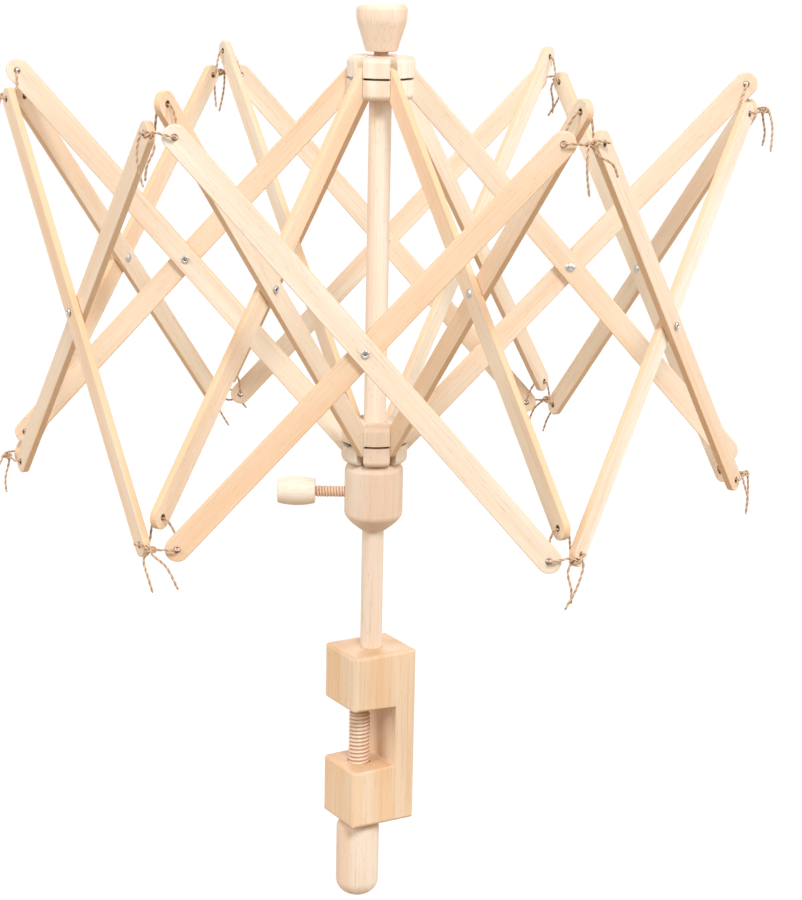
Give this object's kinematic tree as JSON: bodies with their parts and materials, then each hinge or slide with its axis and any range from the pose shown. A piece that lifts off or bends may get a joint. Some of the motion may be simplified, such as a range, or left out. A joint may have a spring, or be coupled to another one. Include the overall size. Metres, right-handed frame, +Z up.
{
  "type": "umbrella swift",
  "caption": "Wooden umbrella swift: a folding lattice of slats tied with string, turning on a post that a screw clamp holds on a table edge, with a sliding lock collar.",
  "frame": {"origin": "on the post's axis, at the underside of the clamp's upper jaw, which lies on the table", "axes": "+Z up along the post, -X out of the clamp's mouth, +Y across the clamp"},
  "size_m": [0.463, 0.515, 0.625],
  "materials": {
    "turned_wood": "sanded, unvarnished",
    "slat_wood": "sanded, unvarnished",
    "steel": "dull drawn wire",
    "rivet_metal": "plain pressed rivets",
    "twine": "thin twisted twine"
  },
  "bodies": {
    "stand": {"post": "slat_wood", "top_knob": "turned_wood", "clamp_body": "turned_wood"},
    "clamp_screw": {"clamp_screw": "turned_wood"},
    "clamp_grip": {"clamp_grip": "turned_wood"},
    "head": {"upper_hub": "turned_wood", "upper_wire": "steel"},
    "upper_rib_1": {"upper_rib_1": "slat_wood", "rib_rivet_1": "rivet_metal"},
    "lower_rib_1": {"lower_rib_1": "slat_wood"},
    "top_tie_1": {"top_tie_1": "twine"},
    "bottom_tie_1": {"bottom_tie_1": "twine"},
    "falling_slat_1": {"falling_slat_1": "slat_wood", "slat_rivet_1": "rivet_metal"},
    "rising_slat_1": {"rising_slat_1": "slat_wood"},
    "runner": {"lower_hub": "turned_wood", "lower_wire": "steel"},
    "upper_rib_2": {"upper_rib_2": "slat_wood", "rib_rivet_2": "rivet_metal"},
    "lower_rib_2": {"lower_rib_2": "slat_wood"},
    "top_tie_2": {"top_tie_2": "twine"},
    "bottom_tie_2": {"bottom_tie_2": "twine"},
    "falling_slat_2": {"falling_slat_2": "slat_wood", "slat_rivet_2": "rivet_metal"},
    "rising_slat_2": {"rising_slat_2": "slat_wood"},
    "upper_rib_3": {"upper_rib_3": "slat_wood", "rib_rivet_3": "rivet_metal"},
    "lower_rib_3": {"lower_rib_3": "slat_wood"},
    "top_tie_3": {"top_tie_3": "twine"},
    "bottom_tie_3": {"bottom_tie_3": "twine"},
    "falling_slat_3": {"falling_slat_3": "slat_wood", "slat_rivet_3": "rivet_metal"},
    "rising_slat_3": {"rising_slat_3": "slat_wood"},
    "upper_rib_4": {"upper_rib_4": "slat_wood", "rib_rivet_4": "rivet_metal"},
    "lower_rib_4": {"lower_rib_4": "slat_wood"},
    "top_tie_4": {"top_tie_4": "twine"},
    "bottom_tie_4": {"bottom_tie_4": "twine"},
    "falling_slat_4": {"falling_slat_4": "slat_wood", "slat_rivet_4": "rivet_metal"},
    "rising_slat_4": {"rising_slat_4": "slat_wood"},
    "upper_rib_5": {"upper_rib_5": "slat_wood", "rib_rivet_5": "rivet_metal"},
    "lower_rib_5": {"lower_rib_5": "slat_wood"},
    "top_tie_5": {"top_tie_5": "twine"},
    "bottom_tie_5": {"bottom_tie_5": "twine"},
    "falling_slat_5": {"falling_slat_5": "slat_wood", "slat_rivet_5": "rivet_metal"},
    "rising_slat_5": {"rising_slat_5": "slat_wood"},
    "upper_rib_6": {"upper_rib_6": "slat_wood", "rib_rivet_6": "rivet_metal"},
    "lower_rib_6": {"lower_rib_6": "slat_wood"},
    "top_tie_6": {"top_tie_6": "twine"},
    "bottom_tie_6": {"bottom_tie_6": "twine"},
    "falling_slat_6": {"falling_slat_6": "slat_wood", "slat_rivet_6": "rivet_metal"},
    "rising_slat_6": {"rising_slat_6": "slat_wood"},
    "lock_collar": {"lock_collar": "turned_wood"},
    "lock_screw": {"lock_screw": "turned_wood"},
    "lock_knob": {"lock_knob": "turned_wood"}
  },
  "joints": [
    {"name": "head_spin", "type": "hinge", "parent": "stand", "child": "head", "pos_m": [0, 0, 0.433], "axis": [0, 0, 1], "continuous": true},
    {"name": "fold", "type": "hinge", "parent": "head", "child": "upper_rib_1", "pos_m": [0.01589, 0.00845, 0.433], "axis": [-0.4695, 0.8829, 0], "range_deg": [-23, 30]},
    {"name": "rib_crossing_1", "type": "hinge", "parent": "upper_rib_1", "child": "lower_rib_1", "pos_m": [0.11367, 0.06044, 0.31001], "axis": [-0.4695, 0.8829, 0], "range_deg": [-60, 46]},
    {"name": "runner_pivot", "type": "hinge", "parent": "lower_rib_1", "child": "runner", "pos_m": [0.01589, 0.00845, 0.18702], "axis": [-0.4695, 0.8829, 0], "range_deg": [-23, 30]},
    {"name": "bottom_tie_1_turn", "type": "hinge", "parent": "upper_rib_1", "child": "bottom_tie_1", "pos_m": [0.21145, 0.11243, 0.18702], "axis": [-0.4695, 0.8829, 0], "range_deg": [-30, 23]},
    {"name": "top_tie_1_turn", "type": "hinge", "parent": "lower_rib_1", "child": "top_tie_1", "pos_m": [0.21145, 0.11243, 0.433], "axis": [-0.4695, 0.8829, 0], "range_deg": [-23, 30]},
    {"name": "falling_slat_1_turn", "type": "hinge", "parent": "top_tie_1", "child": "falling_slat_1", "pos_m": [0.20901, 0.12551, 0.415], "axis": [0.5299, 0.848, 0], "range_deg": [-30, 23]},
    {"name": "rising_slat_1_turn", "type": "hinge", "parent": "bottom_tie_1", "child": "rising_slat_1", "pos_m": [0.20647, 0.12144, 0.16902], "axis": [0.5299, 0.848, 0], "range_deg": [-23, 30]},
    {"name": "upper_rib_2_pivot", "type": "hinge", "parent": "head", "child": "upper_rib_2", "pos_m": [0.00063, 0.01799, 0.433], "axis": [-0.9994, 0.0349, 0], "range_deg": [-23, 30]},
    {"name": "rib_crossing_2", "type": "hinge", "parent": "upper_rib_2", "child": "lower_rib_2", "pos_m": [0.00449, 0.12866, 0.31001], "axis": [-0.9994, 0.0349, 0], "range_deg": [-60, 46]},
    {"name": "bottom_tie_2_turn", "type": "hinge", "parent": "upper_rib_2", "child": "bottom_tie_2", "pos_m": [0.00836, 0.23934, 0.18702], "axis": [-0.9994, 0.0349, 0], "range_deg": [-30, 23]},
    {"name": "top_tie_2_turn", "type": "hinge", "parent": "lower_rib_2", "child": "top_tie_2", "pos_m": [0.00836, 0.23934, 0.433], "axis": [-0.9994, 0.0349, 0], "range_deg": [-23, 30]},
    {"name": "falling_slat_2_turn", "type": "hinge", "parent": "top_tie_2", "child": "falling_slat_2", "pos_m": [-0.00419, 0.24376, 0.415], "axis": [-0.4695, 0.8829, 0], "range_deg": [-30, 23]},
    {"name": "rising_slat_2_turn", "type": "hinge", "parent": "bottom_tie_2", "child": "rising_slat_2", "pos_m": [-0.00194, 0.23953, 0.16902], "axis": [-0.4695, 0.8829, 0], "range_deg": [-23, 30]},
    {"name": "upper_rib_3_pivot", "type": "hinge", "parent": "head", "child": "upper_rib_3", "pos_m": [-0.01526, 0.00954, 0.433], "axis": [-0.5299, -0.848, 0], "range_deg": [-23, 30]},
    {"name": "rib_crossing_3", "type": "hinge", "parent": "upper_rib_3", "child": "lower_rib_3", "pos_m": [-0.10918, 0.06822, 0.31001], "axis": [-0.5299, -0.848, 0], "range_deg": [-60, 46]},
    {"name": "bottom_tie_3_turn", "type": "hinge", "parent": "upper_rib_3", "child": "bottom_tie_3", "pos_m": [-0.20309, 0.12691, 0.18702], "axis": [-0.5299, -0.848, 0], "range_deg": [-30, 23]},
    {"name": "top_tie_3_turn", "type": "hinge", "parent": "lower_rib_3", "child": "top_tie_3", "pos_m": [-0.20309, 0.12691, 0.433], "axis": [-0.5299, -0.848, 0], "range_deg": [-23, 30]},
    {"name": "falling_slat_3_turn", "type": "hinge", "parent": "top_tie_3", "child": "falling_slat_3", "pos_m": [-0.2132, 0.11825, 0.415], "axis": [-0.9994, 0.0349, 0], "range_deg": [-30, 23]},
    {"name": "rising_slat_3_turn", "type": "hinge", "parent": "bottom_tie_3", "child": "rising_slat_3", "pos_m": [-0.2084, 0.11809, 0.16902], "axis": [-0.9994, 0.0349, 0], "range_deg": [-23, 30]},
    {"name": "upper_rib_4_pivot", "type": "hinge", "parent": "head", "child": "upper_rib_4", "pos_m": [-0.01589, -0.00845, 0.433], "axis": [0.4695, -0.8829, 0], "range_deg": [-23, 30]},
    {"name": "rib_crossing_4", "type": "hinge", "parent": "upper_rib_4", "child": "lower_rib_4", "pos_m": [-0.11367, -0.06044, 0.31001], "axis": [0.4695, -0.8829, 0], "range_deg": [-60, 46]},
    {"name": "bottom_tie_4_turn", "type": "hinge", "parent": "upper_rib_4", "child": "bottom_tie_4", "pos_m": [-0.21145, -0.11243, 0.18702], "axis": [0.4695, -0.8829, 0], "range_deg": [-30, 23]},
    {"name": "top_tie_4_turn", "type": "hinge", "parent": "lower_rib_4", "child": "top_tie_4", "pos_m": [-0.21145, -0.11243, 0.433], "axis": [0.4695, -0.8829, 0], "range_deg": [-23, 30]},
    {"name": "falling_slat_4_turn", "type": "hinge", "parent": "top_tie_4", "child": "falling_slat_4", "pos_m": [-0.20901, -0.12551, 0.415], "axis": [-0.5299, -0.848, 0], "range_deg": [-30, 23]},
    {"name": "rising_slat_4_turn", "type": "hinge", "parent": "bottom_tie_4", "child": "rising_slat_4", "pos_m": [-0.20647, -0.12144, 0.16902], "axis": [-0.5299, -0.848, 0], "range_deg": [-23, 30]},
    {"name": "upper_rib_5_pivot", "type": "hinge", "parent": "head", "child": "upper_rib_5", "pos_m": [-0.00063, -0.01799, 0.433], "axis": [0.9994, -0.0349, 0], "range_deg": [-23, 30]},
    {"name": "rib_crossing_5", "type": "hinge", "parent": "upper_rib_5", "child": "lower_rib_5", "pos_m": [-0.00449, -0.12866, 0.31001], "axis": [0.9994, -0.0349, 0], "range_deg": [-60, 46]},
    {"name": "bottom_tie_5_turn", "type": "hinge", "parent": "upper_rib_5", "child": "bottom_tie_5", "pos_m": [-0.00836, -0.23934, 0.18702], "axis": [0.9994, -0.0349, 0], "range_deg": [-30, 23]},
    {"name": "top_tie_5_turn", "type": "hinge", "parent": "lower_rib_5", "child": "top_tie_5", "pos_m": [-0.00836, -0.23934, 0.433], "axis": [0.9994, -0.0349, 0], "range_deg": [-23, 30]},
    {"name": "falling_slat_5_turn", "type": "hinge", "parent": "top_tie_5", "child": "falling_slat_5", "pos_m": [0.00419, -0.24376, 0.415], "axis": [0.4695, -0.8829, 0], "range_deg": [-30, 23]},
    {"name": "rising_slat_5_turn", "type": "hinge", "parent": "bottom_tie_5", "child": "rising_slat_5", "pos_m": [0.00194, -0.23953, 0.16902], "axis": [0.4695, -0.8829, 0], "range_deg": [-23, 30]},
    {"name": "upper_rib_6_pivot", "type": "hinge", "parent": "head", "child": "upper_rib_6", "pos_m": [0.01526, -0.00954, 0.433], "axis": [0.5299, 0.848, 0], "range_deg": [-23, 30]},
    {"name": "rib_crossing_6", "type": "hinge", "parent": "upper_rib_6", "child": "lower_rib_6", "pos_m": [0.10918, -0.06822, 0.31001], "axis": [0.5299, 0.848, 0], "range_deg": [-60, 46]},
    {"name": "bottom_tie_6_turn", "type": "hinge", "parent": "upper_rib_6", "child": "bottom_tie_6", "pos_m": [0.20309, -0.12691, 0.18702], "axis": [0.5299, 0.848, 0], "range_deg": [-30, 23]},
    {"name": "top_tie_6_turn", "type": "hinge", "parent": "lower_rib_6", "child": "top_tie_6", "pos_m": [0.20309, -0.12691, 0.433], "axis": [0.5299, 0.848, 0], "range_deg": [-23, 30]},
    {"name": "falling_slat_6_turn", "type": "hinge", "parent": "top_tie_6", "child": "falling_slat_6", "pos_m": [0.2132, -0.11825, 0.415], "axis": [0.9994, -0.0349, 0], "range_deg": [-30, 23]},
    {"name": "rising_slat_6_turn", "type": "hinge", "parent": "bottom_tie_6", "child": "rising_slat_6", "pos_m": [0.2084, -0.11809, 0.16902], "axis": [0.9994, -0.0349, 0], "range_deg": [-23, 30]},
    {"name": "collar_turn", "type": "hinge", "parent": "runner", "child": "lock_collar", "pos_m": [0, 0, 0.15072], "axis": [0, 0, 1], "continuous": true},
    {"name": "lock_screw_travel", "type": "slide", "parent": "lock_collar", "child": "lock_screw", "axis": [-0.866, 0.5, 0], "range_m": [0, 0.012]},
    {"name": "lock_knob_turn", "type": "hinge", "parent": "lock_screw", "child": "lock_knob", "pos_m": [0, 0, 0.15072], "axis": [-0.866, 0.5, 0], "range_deg": [0, 2160]},
    {"name": "clamp_screw_travel", "type": "slide", "parent": "stand", "child": "clamp_screw", "axis": [0, 0, 1], "range_m": [-0.0364, 0.0014]},
    {"name": "clamp_grip_turn", "type": "hinge", "parent": "clamp_screw", "child": "clamp_grip", "pos_m": [-0.00825, 0, -0.1], "axis": [0, 0, 1], "range_deg": [-4680, 180]}
  ],
  "couplings": [
    {"joint": "rib_crossing_1", "follows": "fold", "ratio": -2},
    {"joint": "runner_pivot", "follows": "fold", "ratio": 1},
    {"joint": "bottom_tie_1_turn", "follows": "fold", "ratio": -1},
    {"joint": "top_tie_1_turn", "follows": "fold", "ratio": 1},
    {"joint": "falling_slat_1_turn", "follows": "fold", "ratio": -1},
    {"joint": "rising_slat_1_turn", "follows": "fold", "ratio": 1},
    {"joint": "upper_rib_2_pivot", "follows": "fold", "ratio": 1},
    {"joint": "rib_crossing_2", "follows": "fold", "ratio": -2},
    {"joint": "bottom_tie_2_turn", "follows": "fold", "ratio": -1},
    {"joint": "top_tie_2_turn", "follows": "fold", "ratio": 1},
    {"joint": "falling_slat_2_turn", "follows": "fold", "ratio": -1},
    {"joint": "rising_slat_2_turn", "follows": "fold", "ratio": 1},
    {"joint": "upper_rib_3_pivot", "follows": "fold", "ratio": 1},
    {"joint": "rib_crossing_3", "follows": "fold", "ratio": -2},
    {"joint": "bottom_tie_3_turn", "follows": "fold", "ratio": -1},
    {"joint": "top_tie_3_turn", "follows": "fold", "ratio": 1},
    {"joint": "falling_slat_3_turn", "follows": "fold", "ratio": -1},
    {"joint": "rising_slat_3_turn", "follows": "fold", "ratio": 1},
    {"joint": "upper_rib_4_pivot", "follows": "fold", "ratio": 1},
    {"joint": "rib_crossing_4", "follows": "fold", "ratio": -2},
    {"joint": "bottom_tie_4_turn", "follows": "fold", "ratio": -1},
    {"joint": "top_tie_4_turn", "follows": "fold", "ratio": 1},
    {"joint": "falling_slat_4_turn", "follows": "fold", "ratio": -1},
    {"joint": "rising_slat_4_turn", "follows": "fold", "ratio": 1},
    {"joint": "upper_rib_5_pivot", "follows": "fold", "ratio": 1},
    {"joint": "rib_crossing_5", "follows": "fold", "ratio": -2},
    {"joint": "bottom_tie_5_turn", "follows": "fold", "ratio": -1},
    {"joint": "top_tie_5_turn", "follows": "fold", "ratio": 1},
    {"joint": "falling_slat_5_turn", "follows": "fold", "ratio": -1},
    {"joint": "rising_slat_5_turn", "follows": "fold", "ratio": 1},
    {"joint": "upper_rib_6_pivot", "follows": "fold", "ratio": 1},
    {"joint": "rib_crossing_6", "follows": "fold", "ratio": -2},
    {"joint": "bottom_tie_6_turn", "follows": "fold", "ratio": -1},
    {"joint": "top_tie_6_turn", "follows": "fold", "ratio": 1},
    {"joint": "falling_slat_6_turn", "follows": "fold", "ratio": -1},
    {"joint": "rising_slat_6_turn", "follows": "fold", "ratio": 1},
    {"joint": "collar_turn", "follows": "head_spin", "ratio": -1},
    {"joint": "lock_screw_travel", "follows": "lock_knob_turn", "m_per_rad": 0.00031831},
    {"joint": "clamp_screw_travel", "follows": "clamp_grip_turn", "m_per_rad": 0.00044563}
  ]
}
